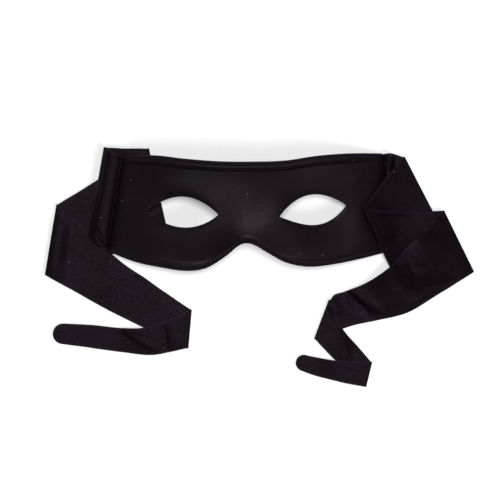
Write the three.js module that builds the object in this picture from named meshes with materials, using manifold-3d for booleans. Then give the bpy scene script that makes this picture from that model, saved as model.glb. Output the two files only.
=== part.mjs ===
// A soft black domino mask with two long tapered cloth ties, lying face up on a table.
// The moulded mask is an arched sheet with a nose bridge, two eye openings and a rolled hem.
// Each tie is sewn to one side of the mask and lies folded back and forth beside it.
// X runs across the face, Y runs up to the brow and Z points out of the face, all in millimetres.
import * as THREE from "three";
import { mergeVertices } from "three/addons/utils/BufferGeometryUtils.js";
import Module from "manifold-3d";

// Sizes of the moulded mask
const MASK_WIDTH = 180; // from one side seam to the other, level with the eyes
const MASK_HEIGHT = 77.4; // from the highest of the brow edge to the lowest of the cheeks
const MASK_THICKNESS = 2;
const ARCH_HEIGHT = 20; // the middle of the mask above its sides
const NOSE_RISE = 11; // the nose bridge above the arch
const SEAM_FLANGE = 5; // the mask's side that lies under the root of a tie
const CORNER_TRIM = 1; // how far a flange's corners are cut back, as a share of its width
const BROW_HEM_WIDTH = 5.3;
const BROW_HEM_RISE = 1.3;
const CHEEK_HEM_WIDTH = 4;
const CHEEK_HEM_RISE = 0.6;
const CREASE_WIDTH = 1.6; // the groove along the inner side of a hem
const CREASE_DEPTH = 0.5;

// Sizes of an eye opening
const EYE_WIDTH = 45.4;
const EYE_UPPER_RISE = 11.2; // above the line from corner to corner
const EYE_LOWER_DROP = 10.6;
const EYE_SPACING = 85.4; // between the middles of the two openings

// Sizes of a tie
const TIE_LENGTH = 336; // from its root to its round end, laid flat
const TIE_THICKNESS = 1;
const LAYER_GAP = 0.4; // free height between two layers of cloth
const SEAM_INSET = 0.8; // each end of the tie's root, in from the corner of the mask's side

// How finely the sheets are divided
const FACE_COLUMNS = 38;
const FACE_ROWS = 11;
const TIE_PARTS_ACROSS = 5;
const LEG_STEP = 8; // the longest step along a tie
const FOLD_STEPS = 4;
const TIP_STEPS = 5;
const EYE_STEPS = 22;
const HEM_SHARES = [0, 0.2, 0.5, 0.8, 1]; // rows across a hem, from its outer edge

const halfWidth = MASK_WIDTH / 2;
const layerPitch = TIE_THICKNESS + LAYER_GAP;

// Height of the middle of a tie's cloth when that many layers lie under it.
const layerHeight = (layers) => TIE_THICKNESS / 2 + layers * layerPitch;

// The left side rests on two layers of its own folded tie, and the right side on the table.
const LAYERS_UNDER_LEFT_SIDE = 3;
const leftSeamHeight = layerHeight(LAYERS_UNDER_LEFT_SIDE) + (MASK_THICKNESS - TIE_THICKNESS) / 2;
const rightSeamHeight = MASK_THICKNESS / 2;

// Edges of the mask. at: share of the half width; y: share of MASK_HEIGHT above the middle of the eyes.
const BROW_EDGE = [
  { at: -1, y: 0.481 },
  { at: -0.75, y: 0.488 },
  { at: -0.5, y: 0.456 },
  { at: -0.25, y: 0.434 },
  { at: 0, y: 0.431 },
  { at: 0.25, y: 0.441 },
  { at: 0.5, y: 0.483 },
  { at: 0.75, y: 0.506 },
  { at: 1, y: 0.51 },
];
const CHEEK_EDGE = [
  { at: -1, y: -0.33 },
  { at: -0.8, y: -0.422 },
  { at: -0.6, y: -0.47 },
  { at: -0.43, y: -0.493 },
  { at: -0.29, y: -0.463 },
  { at: -0.15, y: -0.357 },
  { at: -0.06, y: -0.273 },
  { at: 0, y: -0.259 },
  { at: 0.06, y: -0.276 },
  { at: 0.15, y: -0.342 },
  { at: 0.27, y: -0.428 },
  { at: 0.43, y: -0.464 },
  { at: 0.6, y: -0.445 },
  { at: 0.8, y: -0.397 },
  { at: 1, y: -0.336 },
];

// Where each side seam ends. brow, cheek: share of the half width from the middle of the mask.
const SIDE_SEAMS = {
  left: { brow: -0.948, cheek: -1.052 },
  right: { brow: 0.978, cheek: 1.022 },
};

// Eye openings. middle: share of half of EYE_SPACING; y: share of MASK_HEIGHT;
// slant: degrees that the outer corner is turned up.
const EYES = {
  left: { middle: -1, y: -0.003, slant: 3 },
  right: { middle: 1, y: 0.019, slant: 9 },
};
const EYE_FULLEST = 0.56; // share of the width, from the inner corner, where the opening is tallest
const EYE_FULLNESS = 0.8; // under 1 makes a fuller curve than a sine

// Moulded relief. x, reachX: share of the half width; y, reachY: share of MASK_HEIGHT;
// rise: share of NOSE_RISE.
const RELIEF = [
  { name: "nose bridge", x: 0, y: -0.25, reachX: 0.14, reachY: 0.33, rise: 1 },
  { name: "nose root", x: 0, y: 0, reachX: 0.3, reachY: 0.4, rise: 0.2 },
  { name: "left eye socket", x: -0.44, y: 0.02, reachX: 0.33, reachY: 0.22, rise: -0.3 },
  { name: "right eye socket", x: 0.46, y: 0.03, reachX: 0.33, reachY: 0.22, rise: -0.3 },
  { name: "left cheek", x: -0.45, y: -0.36, reachX: 0.3, reachY: 0.14, rise: -0.2 },
  { name: "right cheek", x: 0.45, y: -0.34, reachX: 0.3, reachY: 0.14, rise: -0.2 },
];

// Sections of each tie from the first one past its root.
// x, y: middle of the section from the middle of the root, as shares of TIE_LENGTH;
// lean: degrees that its brow edge leans to +X; width: share of the root's width;
// brow, cheek: layers of cloth under its two edges;
// step: layers gained where the tie folds back, up or down;
// onMask: its brow edge lies on the mask's face and not over the table.
const LEFT_TIE = [
  { name: "roll over the seam", x: -0.02, y: 0.011, lean: 9.5, width: 0.985, brow: 5.5, cheek: 5.3 },
  { name: "fold under mask", x: -0.037, y: 0.02, lean: 10, width: 0.977, brow: 4.6, cheek: 4.6, step: -2.6 },
  { name: "fold under eye", x: 0.0901, y: 0.0185, lean: -12.7, width: 0.975, brow: 2, cheek: 2, step: -2 },
  { name: "far left fold", x: -0.1254, y: -0.0712, lean: 9.3, width: 0.774, brow: 0, cheek: 0, step: 1 },
  { name: "leaving the layer below", x: 0.002, y: -0.1643, lean: 8, width: 0.552, brow: 0.9, cheek: 0.6 },
  { name: "down on the table", x: 0.06, y: -0.1991, lean: 6, width: 0.5, brow: 0, cheek: 0 },
  { name: "lower right fold", x: 0.1466, y: -0.2486, lean: 5, width: 0.41, brow: 0, cheek: 0, step: 1 },
  { name: "crumpled turn", x: 0.0718, y: -0.2712, lean: -5, width: 0.304, brow: 1, cheek: 0.4 },
  { name: "past the turn", x: 0.0151, y: -0.2698, lean: 4.9, width: 0.26, brow: 0, cheek: 0 },
  { name: "last run", x: -0.0516, y: -0.2631, lean: 5, width: 0.245, brow: 0, cheek: 0 },
  { name: "round end", x: -0.102, y: -0.2587, lean: 5, width: 0.2215, brow: 0, cheek: 0 },
];
const RIGHT_TIE = [
  { name: "roll past the seam", x: 0.012, y: 0.002, lean: -3, width: 1, brow: 2.6, cheek: 1.7 },
  { name: "down on the table", x: 0.0317, y: 0.002, lean: -8, width: 1, brow: 0, cheek: 0 },
  { name: "upper right fold", x: 0.0845, y: 0.0022, lean: -27.3, width: 1.05, brow: 0, cheek: 0, step: 1 },
  { name: "over the side seam", x: 0.038, y: -0.0427, lean: -26.5, width: 0.99, brow: 5.2, cheek: 1.2 },
  {
    name: "fold over mask", x: -0.0079, y: -0.0903, lean: -26.3, width: 0.896, brow: 0.2, cheek: 0.8,
    step: 1, onMask: true,
  },
  { name: "across the layer below", x: 0.0694, y: -0.0833, lean: -27, width: 0.76, brow: 5, cheek: 1.5 },
  { name: "past the first fold", x: 0.1155, y: -0.0792, lean: -27.5, width: 0.735, brow: 3.1, cheek: 1.5 },
  { name: "far right fold", x: 0.1463, y: -0.0767, lean: -26.3, width: 0.71, brow: 1.7, cheek: 0, step: 1 },
  { name: "over the second layer", x: 0.1188, y: -0.0985, lean: -30, width: 0.655, brow: 4.4, cheek: 2.6 },
  { name: "over both folds", x: 0.0837, y: -0.1255, lean: -32.8, width: 0.59, brow: 5.1, cheek: 2.1 },
  { name: "leaving the folds", x: 0.0278, y: -0.1715, lean: -22.6, width: 0.505, brow: 4.6, cheek: 1.4 },
  { name: "coming down", x: -0.0262, y: -0.196, lean: -15, width: 0.412, brow: 1.7, cheek: 0 },
  { name: "down again", x: -0.0694, y: -0.2095, lean: -13, width: 0.362, brow: 0, cheek: 0 },
  { name: "lower left fold", x: -0.123, y: -0.2316, lean: 20.5, width: 0.4386, brow: 0, cheek: 0, step: 1 },
  { name: "over the edge below", x: -0.0929, y: -0.2794, lean: 20, width: 0.314, brow: 1, cheek: 0.4 },
  { name: "past the edge below", x: -0.0611, y: -0.3111, lean: 16, width: 0.289, brow: 0, cheek: 0 },
  { name: "last fold", x: -0.0315, y: -0.339, lean: 13.5, width: 0.268, brow: 0, cheek: 0, step: 1 },
  { name: "over the last fold", x: -0.0954, y: -0.3323, lean: 7, width: 0.213, brow: 1.5, cheek: 1 },
  { name: "last run", x: -0.135, y: -0.324, lean: 8, width: 0.19, brow: 0, cheek: 0 },
  { name: "round end", x: -0.1601, y: -0.3167, lean: 10, width: 0.17, brow: 0, cheek: 0 },
];

const cloth = new THREE.MeshStandardMaterial({ color: 0x1a171b, roughness: 0.85, metalness: 0 });
const mouldedCloth = new THREE.MeshStandardMaterial({ color: 0x1c191d, roughness: 0.8, metalness: 0 });

const mix = THREE.MathUtils.lerp;
const evenly = (from, to, parts) => Array.from({ length: parts + 1 }, (_, i) => mix(from, to, i / parts));

// A smooth curve through a table's rows, read at any place along its "at" column.
function edgeHeight(rows, at) {
  const last = rows.length - 2;
  const found = rows.findIndex((row, i) => i > 0 && at <= row.at) - 1;
  const i = found < 0 ? (at <= rows[0].at ? 0 : last) : found;
  const slopeAt = (k) => {
    const before = rows[Math.max(k - 1, 0)];
    const after = rows[Math.min(k + 1, rows.length - 1)];
    return (after.y - before.y) / (after.at - before.at);
  };
  const span = rows[i + 1].at - rows[i].at;
  const t = THREE.MathUtils.clamp((at - rows[i].at) / span, 0, 1);
  const start = (1 + 2 * t) * (1 - t) ** 2 * rows[i].y + t * (1 - t) ** 2 * span * slopeAt(i);
  const end = t * t * (3 - 2 * t) * rows[i + 1].y + t * t * (t - 1) * span * slopeAt(i + 1);
  return (start + end) * MASK_HEIGHT;
}

// Where a share of the half width lies at a share of the height, between the two leaning side seams.
function acrossAt(share, upShare) {
  const left = mix(SIDE_SEAMS.left.cheek, SIDE_SEAMS.left.brow, upShare) * halfWidth;
  const right = mix(SIDE_SEAMS.right.cheek, SIDE_SEAMS.right.brow, upShare) * halfWidth;
  return mix(left, right, (share + 1) / 2);
}

// A rounded hem along an edge, and the crease on its inner side, which is deepest beside the hem.
function hemRelief(fromEdge, width, rise) {
  if (fromEdge < width) return rise * Math.sin((Math.PI * fromEdge) / width);
  const pastHem = (fromEdge - width) / CREASE_WIDTH;
  return pastHem < 1 ? -CREASE_DEPTH * (1 - pastHem * pastHem) : 0;
}

// Height of the middle of the mask's cloth.
function maskHeight(share, x, y, fromBrow, fromCheek) {
  const side = THREE.MathUtils.clamp(share, -1, 1);
  const arch = ARCH_HEIGHT * (1 - side * side);
  const rest = mix(leftSeamHeight, rightSeamHeight, (side + 1) / 2);
  const fade = 1 - side ** 8; // the relief is gone where the ties are sewn on
  let relief = 0;
  for (const { x: middleX, y: middleY, reachX, reachY, rise } of RELIEF) {
    const awayX = (x / halfWidth - middleX) / reachX;
    const awayY = (y / MASK_HEIGHT - middleY) / reachY;
    relief += rise * NOSE_RISE * Math.exp(-awayX * awayX - awayY * awayY);
  }
  const hems =
    hemRelief(fromBrow, BROW_HEM_WIDTH, BROW_HEM_RISE) +
    hemRelief(fromCheek, CHEEK_HEM_WIDTH, CHEEK_HEM_RISE) * side * side;
  return rest + arch + fade * (relief + hems);
}

// Height of the upper side of the mask's cloth under a point of the plan.
function maskTop(x, y) {
  const nearShare = THREE.MathUtils.clamp(x / halfWidth, -1, 1);
  const brow = edgeHeight(BROW_EDGE, nearShare);
  const cheek = edgeHeight(CHEEK_EDGE, nearShare);
  const upShare = (y - cheek) / (brow - cheek);
  const left = acrossAt(-1, upShare);
  const right = acrossAt(1, upShare);
  const share = (2 * (x - left)) / (right - left) - 1;
  return maskHeight(share, x, y, brow - y, y - cheek) + MASK_THICKNESS / 2;
}

// Closes a sheet of points, rows of equal length, into a solid of even thickness.
function sheetSolid(rows, thickness) {
  const across = rows[0].length;
  const inside = (value, count) => THREE.MathUtils.clamp(value, 0, count - 1);
  const at = (i, j) => rows[inside(i, rows.length)][inside(j, across)];
  const positions = [];
  for (const side of [0.5, -0.5]) {
    rows.forEach((row, i) =>
      row.forEach((point, j) => {
        const along = at(i + 1, j).clone().sub(at(i - 1, j));
        const sideways = at(i, j + 1).clone().sub(at(i, j - 1));
        const normal = along.cross(sideways).normalize();
        positions.push(...point.clone().addScaledVector(normal, side * thickness));
      }),
    );
  }
  const under = rows.length * across;
  const index = [];
  const quad = (a, b, c, d) => index.push(a, b, c, a, c, d);
  for (let i = 0; i + 1 < rows.length; i++) {
    for (let j = 0; j + 1 < across; j++) {
      const corner = i * across + j;
      quad(corner, corner + across, corner + across + 1, corner + 1);
      quad(under + corner, under + corner + 1, under + corner + across + 1, under + corner + across);
    }
    const first = i * across;
    const last = first + across - 1;
    quad(first, under + first, under + first + across, first + across);
    quad(last, last + across, under + last + across, under + last);
  }
  for (let j = 0; j + 1 < across; j++) {
    const far = (rows.length - 1) * across + j;
    quad(j, j + 1, under + j + 1, under + j);
    quad(far, under + far, under + far + 1, far + 1);
  }
  const geometry = new THREE.BufferGeometry();
  geometry.setAttribute("position", new THREE.Float32BufferAttribute(positions, 3));
  geometry.setIndex(index);
  return geometry;
}

// Booleans on closed geometries
const wasm = await Module();
wasm.setup();

function solidOf(geometry) {
  const bare = geometry.clone();
  bare.deleteAttribute("normal");
  bare.deleteAttribute("uv");
  const merged = mergeVertices(bare, 1e-4);
  return new wasm.Manifold(
    new wasm.Mesh({
      numProp: 3,
      vertProperties: merged.attributes.position.array,
      triVerts: new Uint32Array(merged.index.array),
    }),
  );
}

function geometryOf(solid) {
  const mesh = solid.getMesh();
  const geometry = new THREE.BufferGeometry();
  geometry.setAttribute("position", new THREE.BufferAttribute(new Float32Array(mesh.vertProperties), 3));
  geometry.setIndex(new THREE.BufferAttribute(new Uint32Array(mesh.triVerts), 1));
  return geometry;
}

// The outline of an eye opening, from the inner corner along the upper lid and back along the lower one.
function eyeShape({ middle, y, slant }) {
  const outwards = Math.sign(middle);
  const turn = THREE.MathUtils.degToRad(slant) * outwards;
  const centre = new THREE.Vector2((middle * EYE_SPACING) / 2, y * MASK_HEIGHT);
  const skew = Math.log(0.5) / Math.log(EYE_FULLEST);
  const lid = (t, rise) => {
    const lift = Math.sin(Math.PI * Math.min(t, 1) ** skew) ** EYE_FULLNESS;
    const point = new THREE.Vector2((t - 0.5) * EYE_WIDTH * outwards, rise * lift);
    return point.rotateAround(new THREE.Vector2(), turn).add(centre);
  };
  const upper = evenly(0, 1, EYE_STEPS / 2).map((t) => lid(t, t > 0 && t < 1 ? EYE_UPPER_RISE : 0));
  const lower = evenly(1, 0, EYE_STEPS / 2).map((t) => lid(t, t > 0 && t < 1 ? -EYE_LOWER_DROP : 0));
  return new THREE.Shape([...upper, ...lower.slice(1, -1)]);
}

function mask() {
  const flange = SEAM_FLANGE / halfWidth;
  const crease = CREASE_WIDTH / halfWidth;
  const columns = [
    -1 - flange,
    -1 - flange / 2,
    -1,
    ...evenly(-1 + crease, 1 - crease, FACE_COLUMNS),
    1,
    1 + flange / 2,
    1 + flange,
  ];
  const rows = columns.map((share) => {
    const side = THREE.MathUtils.clamp(share, -1, 1);
    const trim = CORNER_TRIM * (Math.abs(share) - Math.abs(side)) * halfWidth;
    const brow = edgeHeight(BROW_EDGE, side) - trim;
    const cheek = edgeHeight(CHEEK_EDGE, side) + trim;
    const fromBrow = HEM_SHARES.map((s) => brow - s * BROW_HEM_WIDTH);
    const fromCheek = HEM_SHARES.map((s) => cheek + s * CHEEK_HEM_WIDTH).reverse();
    const faceTop = brow - BROW_HEM_WIDTH - CREASE_WIDTH;
    const faceFoot = cheek + CHEEK_HEM_WIDTH + CREASE_WIDTH;
    const heights = [
      ...fromBrow,
      brow - BROW_HEM_WIDTH - CREASE_WIDTH / 2,
      ...evenly(faceTop, faceFoot, FACE_ROWS),
      cheek + CHEEK_HEM_WIDTH + CREASE_WIDTH / 2,
      ...fromCheek,
    ];
    return heights.map((y) => {
      const x = acrossAt(share, (y - cheek) / (brow - cheek));
      return new THREE.Vector3(x, y, maskHeight(share, x, y, brow - y, y - cheek));
    });
  });
  let shell = solidOf(sheetSolid(rows.reverse(), MASK_THICKNESS));
  const cutDepth = 2 * (leftSeamHeight + ARCH_HEIGHT + NOSE_RISE + MASK_THICKNESS);
  for (const eye of Object.values(EYES)) {
    const cutter = new THREE.ExtrudeGeometry(eyeShape(eye), { depth: cutDepth, bevelEnabled: false });
    shell = shell.subtract(solidOf(cutter.translate(0, 0, -cutDepth / 4)));
  }
  return new THREE.Mesh(geometryOf(shell), mouldedCloth);
}

// The two ends of a side seam, on top of the mask's flange, where a tie's root is sewn.
function seamEnds(side, seamHeight) {
  const share = side === "left" ? -1 : 1;
  const height = seamHeight + MASK_THICKNESS / 2 + LAYER_GAP + TIE_THICKNESS / 2;
  const brow = edgeHeight(BROW_EDGE, share) - SEAM_INSET;
  const cheek = edgeHeight(CHEEK_EDGE, share) + SEAM_INSET;
  return {
    brow: new THREE.Vector3(SIDE_SEAMS[side].brow * halfWidth, brow, height),
    cheek: new THREE.Vector3(SIDE_SEAMS[side].cheek * halfWidth, cheek, height),
  };
}

// Both edge points of every section, with the places of the folds.
function tieSections(seam, table) {
  const middle = seam.brow.clone().add(seam.cheek).multiplyScalar(0.5);
  const rootWidth = seam.brow.distanceTo(seam.cheek);
  const sections = table.map(({ x, y, lean, width, brow, cheek, step = 0, onMask = false }) => {
    const angle = THREE.MathUtils.degToRad(lean);
    const half = (width * rootWidth) / 2;
    const edge = (sign, layers) =>
      new THREE.Vector3(
        middle.x + x * TIE_LENGTH + sign * half * Math.sin(angle),
        middle.y + y * TIE_LENGTH + sign * half * Math.cos(angle),
        layerHeight(layers),
      );
    const browPoint = edge(1, brow);
    if (onMask) browPoint.z += maskTop(browPoint.x, browPoint.y) + LAYER_GAP;
    return { brow: browPoint, cheek: edge(-1, cheek), rise: step * layerPitch };
  });
  return [{ ...seam, rise: 0 }, ...sections];
}

// The plan direction square to a section, pointing away from the section before it.
function outwardsOf(section, before) {
  const along = section.brow.clone().sub(section.cheek);
  const square = new THREE.Vector3(along.y, -along.x, 0).normalize();
  const travel = section.brow.clone().add(section.cheek).sub(before.brow).sub(before.cheek);
  return square.multiplyScalar(Math.sign(square.dot(travel)) || 1);
}

// Rows of edge points along one run of cloth between two folds, which it meets at their inner sides.
function runRows(sections) {
  const brow = new THREE.CatmullRomCurve3(sections.map((section) => section.brow));
  const cheek = new THREE.CatmullRomCurve3(sections.map((section) => section.cheek));
  const length = Math.max(brow.getLength(), cheek.getLength());
  const parts = Math.max(Math.ceil(length / LEG_STEP), 2 * sections.length - 2);
  return evenly(0, 1, parts).map((t) => {
    const row = { brow: brow.getPoint(t), cheek: cheek.getPoint(t) };
    row.brow.z = Math.max(row.brow.z, layerHeight(0));
    row.cheek.z = Math.max(row.cheek.z, layerHeight(0));
    return row;
  });
}

// The half turn of cloth at a fold, from the run before it to the run after it.
function foldRows(section, outwards) {
  const radius = Math.abs(section.rise) / 2;
  return evenly(0, Math.PI, FOLD_STEPS)
    .slice(1, -1)
    .map((turn) => {
      const out = radius * (Math.sin(turn) - 1);
      const up = (section.rise * (1 - Math.cos(turn))) / 2;
      const shift = outwards.clone().multiplyScalar(out).setZ(up);
      return { brow: section.brow.clone().add(shift), cheek: section.cheek.clone().add(shift) };
    });
}

// Narrowing rows that round off the end of a tie.
function tipRows(last, before) {
  const outwards = outwardsOf(last, before);
  const middle = last.brow.clone().add(last.cheek).multiplyScalar(0.5);
  const half = last.brow.clone().sub(last.cheek).multiplyScalar(0.5);
  const radius = half.length();
  return evenly(0, 0.45 * Math.PI, TIP_STEPS)
    .slice(1)
    .map((turn) => {
      const centre = middle.clone().addScaledVector(outwards, radius * Math.sin(turn));
      const reach = half.clone().multiplyScalar(Math.cos(turn));
      return { brow: centre.clone().add(reach), cheek: centre.clone().sub(reach) };
    });
}

function tie(seam, table) {
  const sections = tieSections(seam, table);
  const rows = [];
  let run = [sections[0]];
  for (let i = 1; i < sections.length; i++) {
    const section = sections[i];
    if (section.rise === 0) {
      run.push(section);
      continue;
    }
    const outwards = outwardsOf(section, sections[i - 1]);
    const inset = outwards.clone().multiplyScalar(-Math.abs(section.rise) / 2);
    const arrive = { brow: section.brow.clone().add(inset), cheek: section.cheek.clone().add(inset) };
    rows.push(...runRows([...run, arrive]), ...foldRows(section, outwards));
    const leave = inset.setZ(section.rise);
    run = [{ brow: section.brow.clone().add(leave), cheek: section.cheek.clone().add(leave) }];
  }
  rows.push(...runRows(run), ...tipRows(sections.at(-1), sections.at(-2)));
  const sheet = rows.map(({ brow, cheek }) =>
    evenly(0, 1, TIE_PARTS_ACROSS).map((t) => brow.clone().lerp(cheek, t)),
  );
  return new THREE.Mesh(sheetSolid(sheet, TIE_THICKNESS), cloth);
}

const group = new THREE.Group();
const pieces = {
  mask_shell: mask(),
  left_tie: tie(seamEnds("left", leftSeamHeight), LEFT_TIE),
  right_tie: tie(seamEnds("right", rightSeamHeight), RIGHT_TIE),
};
for (const [name, piece] of Object.entries(pieces)) {
  piece.name = name;
  group.add(piece);
}

// The origin is on the table, under the middle of the whole object.
const box = new THREE.Box3().setFromObject(group);
const centre = box.getCenter(new THREE.Vector3());
group.position.set(-centre.x, -centre.y, -box.min.z);

export default group;
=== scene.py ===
"""A soft black domino mask with two long tapered ties, lying face up on a white table."""
import math

import bmesh
import bpy
from bpy.props import FloatProperty, FloatVectorProperty, PointerProperty
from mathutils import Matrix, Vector, noise


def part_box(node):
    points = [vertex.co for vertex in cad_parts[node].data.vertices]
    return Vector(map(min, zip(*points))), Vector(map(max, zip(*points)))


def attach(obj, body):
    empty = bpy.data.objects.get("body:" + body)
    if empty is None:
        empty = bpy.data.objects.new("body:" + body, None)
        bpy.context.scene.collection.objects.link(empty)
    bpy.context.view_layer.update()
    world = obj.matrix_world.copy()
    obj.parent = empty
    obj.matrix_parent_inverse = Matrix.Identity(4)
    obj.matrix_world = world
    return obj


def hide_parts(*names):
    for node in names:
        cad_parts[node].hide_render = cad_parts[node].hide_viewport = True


bl_info = {
    "name": "Domino Mask",
    "version": (1, 0, 0),
    "blender": (4, 5, 0),
    "location": "View3D > Sidebar > Domino Mask",
    "description": "Builds a moulded cloth domino mask with two folded ties",
    "category": "Add Mesh",
}

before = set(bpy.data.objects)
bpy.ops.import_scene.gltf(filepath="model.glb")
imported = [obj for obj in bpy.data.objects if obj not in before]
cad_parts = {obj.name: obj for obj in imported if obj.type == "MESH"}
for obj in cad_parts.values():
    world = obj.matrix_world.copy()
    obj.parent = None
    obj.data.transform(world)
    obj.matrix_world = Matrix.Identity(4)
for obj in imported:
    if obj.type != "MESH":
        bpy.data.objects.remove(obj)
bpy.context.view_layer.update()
SHELL_LOW, SHELL_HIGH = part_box("mask_shell")

# The point between the eyes, from the box of the moulded shell
BROW_TOP = 0.0398
SHELL_OFF_CENTRE = 0.00135
FACE_MIDDLE = Vector(((SHELL_LOW.x + SHELL_HIGH.x) / 2 + SHELL_OFF_CENTRE, SHELL_HIGH.y - BROW_TOP, 0))

# How finely the cloth is divided
BROW_CELLS = 84  # across each half of the mask
SIDE_CELLS = 50  # up each half of the mask
RINGS = 40  # from an eye opening to the hems
FLANGE_STEPS = 4
ROW_STEP = 0.0008  # the longest step along a tie
CELLS_ACROSS = 48
FOLD_STEPS = 10
TIP_STEPS = 12
TIP_TURN = 0.45 * math.pi  # how far the round end turns in; half of pi would close it
RIM_SEGMENTS = 3
JOIN_DISTANCE = 0.000002
SMALLEST_GAP = 0.000001

# Rows across a hem, from its inner side, and across the crease beside it
HEM_SHARES = (0.97, 0.94, 0.9, 0.84, 0.75, 0.6, 0.45, 0.3, 0.18, 0.1, 0.04, 0)
CREASE_SHARES = (1, 0.75, 0.5, 0.25, 0)

# Edges of the mask. at: share of the half width;
# y: share of the mask's height above the middle of the eyes.
BROW_EDGE = (
    {"at": -1, "y": 0.481},
    {"at": -0.75, "y": 0.488},
    {"at": -0.5, "y": 0.456},
    {"at": -0.25, "y": 0.434},
    {"at": 0, "y": 0.431},
    {"at": 0.25, "y": 0.441},
    {"at": 0.5, "y": 0.483},
    {"at": 0.75, "y": 0.506},
    {"at": 1, "y": 0.51},
)
CHEEK_EDGE = (
    {"at": -1, "y": -0.33},
    {"at": -0.8, "y": -0.422},
    {"at": -0.6, "y": -0.473},
    {"at": -0.43, "y": -0.5},
    {"at": -0.29, "y": -0.4746},
    {"at": -0.15, "y": -0.372},
    {"at": -0.06, "y": -0.2833},
    {"at": 0, "y": -0.265},
    {"at": 0.06, "y": -0.2872},
    {"at": 0.15, "y": -0.3515},
    {"at": 0.27, "y": -0.428},
    {"at": 0.43, "y": -0.464},
    {"at": 0.6, "y": -0.445},
    {"at": 0.8, "y": -0.397},
    {"at": 1, "y": -0.336},
)

# Where each side seam ends. brow, cheek: share of the half width from the middle of the mask.
SIDE_SEAMS = {
    "left": {"side": -1, "brow": -0.948, "cheek": -1.052},
    "right": {"side": 1, "brow": 0.978, "cheek": 1.022},
}

# Eye openings. side: which half; x: share of the half width from the plain place;
# y: share of the mask's height; slant: degrees that the outer corner is turned up;
# width: share of the plain width; upper, lower: share of the width, from the inner corner,
# where that lid is fullest; fullness: under 1 is fuller.
EYES = (
    {"side": -1, "x": -0.0165, "y": -0.007, "slant": 2.5, "width": 1.045, "upper": 0.49, "lower": 0.46,
     "fullness": 0.88},
    {"side": 1, "x": -0.0165, "y": 0.011, "slant": 10, "width": 0.965, "upper": 0.5, "lower": 0.55,
     "fullness": 0.82},
)
EYE_TURN = 0.0007  # how far the cloth turns in round an eye
EYE_TURN_WIDTH = 0.0022
EYE_CORNER = 0.0036  # how far from its corners the cloth begins to turn in
EYE_SPREAD = 0.35  # 0: points evenly along a lid, 1: drawn towards its corners

# The turned-under lower edge: how far it falls, how round it falls, and the width of the ridge above it
TURNED_DROP = 0.0014
TURNED_ROUND = 2.2
TURNED_RIDGE_WIDTH = 0.0011
TURNED_BELOW_NOSE = 0.5  # its share there
NOSE_SPAN = 0.41  # share of the half width

ARCH_ROUND = 3  # 2 is a plain bow; more is flatter over the nose
SEAM_FADE = 8  # how close to the side seams the relief ends; more is closer
SHOULDER_POWER = 16  # the same for the fullness beside the seams
LEFT_SHOULDER = 2.2  # fullness beside the left seam, where the tie lifts it, as a share of the right one's
BROW_HEM_FULLER = 0.25  # how much wider the brow hem grows away from the nose
BROW_HEM_TAPER = 0.55  # how much it narrows towards the seams
CHEEK_HEM_LEAN = 0.2  # how much narrower the lower hem is on the right and wider on the left
HEM_ROUND = 8  # how steep a hem rises from its edge
HEM_SLOPE = 0.4  # share of the hem's rise that is gained evenly towards its inner side
HEM_DROP = 10  # how steep its inner side falls into the crease

SEAM_NEAR = 0.00001  # how near to its height a border lies on a side seam
STEEP_WALL = 0.05  # the upward part of a normal under which a face is a wall
RIM_ANGLE = math.radians(60)  # the least angle of a tie's cut edge
EDGE_ROUNDING = 0.00026

# Moulded relief. x, reach_x: share of the half width; y, reach_y: share of the mask's height;
# rise: share of the nose's rise.
RELIEF = (
    {"name": "nose bridge", "x": -0.075, "y": -0.067, "reach_x": 0.352, "reach_y": 0.412, "rise": 0.985},
    {"name": "left flank of the nose", "x": -0.229, "y": -0.332, "reach_x": 0.148, "reach_y": 0.236,
     "rise": -0.28},
    {"name": "left of the nose's crest", "x": -0.148, "y": -0.03, "reach_x": 0.177, "reach_y": 0.157,
     "rise": -0.185},
    {"name": "right of the nose's crest", "x": 0.216, "y": 0.027, "reach_x": 0.131, "reach_y": 0.239,
     "rise": 0.105},
    {"name": "left socket", "x": -0.437, "y": 0.149, "reach_x": 0.314, "reach_y": 0.142, "rise": -0.452},
    {"name": "left upper lid", "x": -0.361, "y": 0.15, "reach_x": 0.182, "reach_y": 0.118, "rise": 0.232},
    {"name": "left brow ridge", "x": -0.567, "y": 0.207, "reach_x": 0.24, "reach_y": 0.152, "rise": 0.315},
    {"name": "left cheek", "x": -0.225, "y": -0.48, "reach_x": 0.437, "reach_y": 0.154, "rise": -0.234},
    {"name": "left lower corner", "x": -0.865, "y": -0.172, "reach_x": 0.267, "reach_y": 0.123,
     "rise": 0.17},
    {"name": "right socket", "x": 0.496, "y": -0.172, "reach_x": 0.146, "reach_y": 0.348, "rise": -0.26},
    {"name": "right outer lid", "x": 0.677, "y": -0.194, "reach_x": 0.169, "reach_y": 0.384,
     "rise": -0.433},
    {"name": "right cheek", "x": 0.619, "y": -0.328, "reach_x": 0.374, "reach_y": 0.41, "rise": 0.501},
    {"name": "right brow corner", "x": 0.843, "y": 0.29, "reach_x": 0.116, "reach_y": 0.09, "rise": 0.125},
    {"name": "slope below the brow hem", "x": 0.161, "y": 0.539, "reach_x": 0.773, "reach_y": 0.199,
     "rise": -0.215},
)

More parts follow.
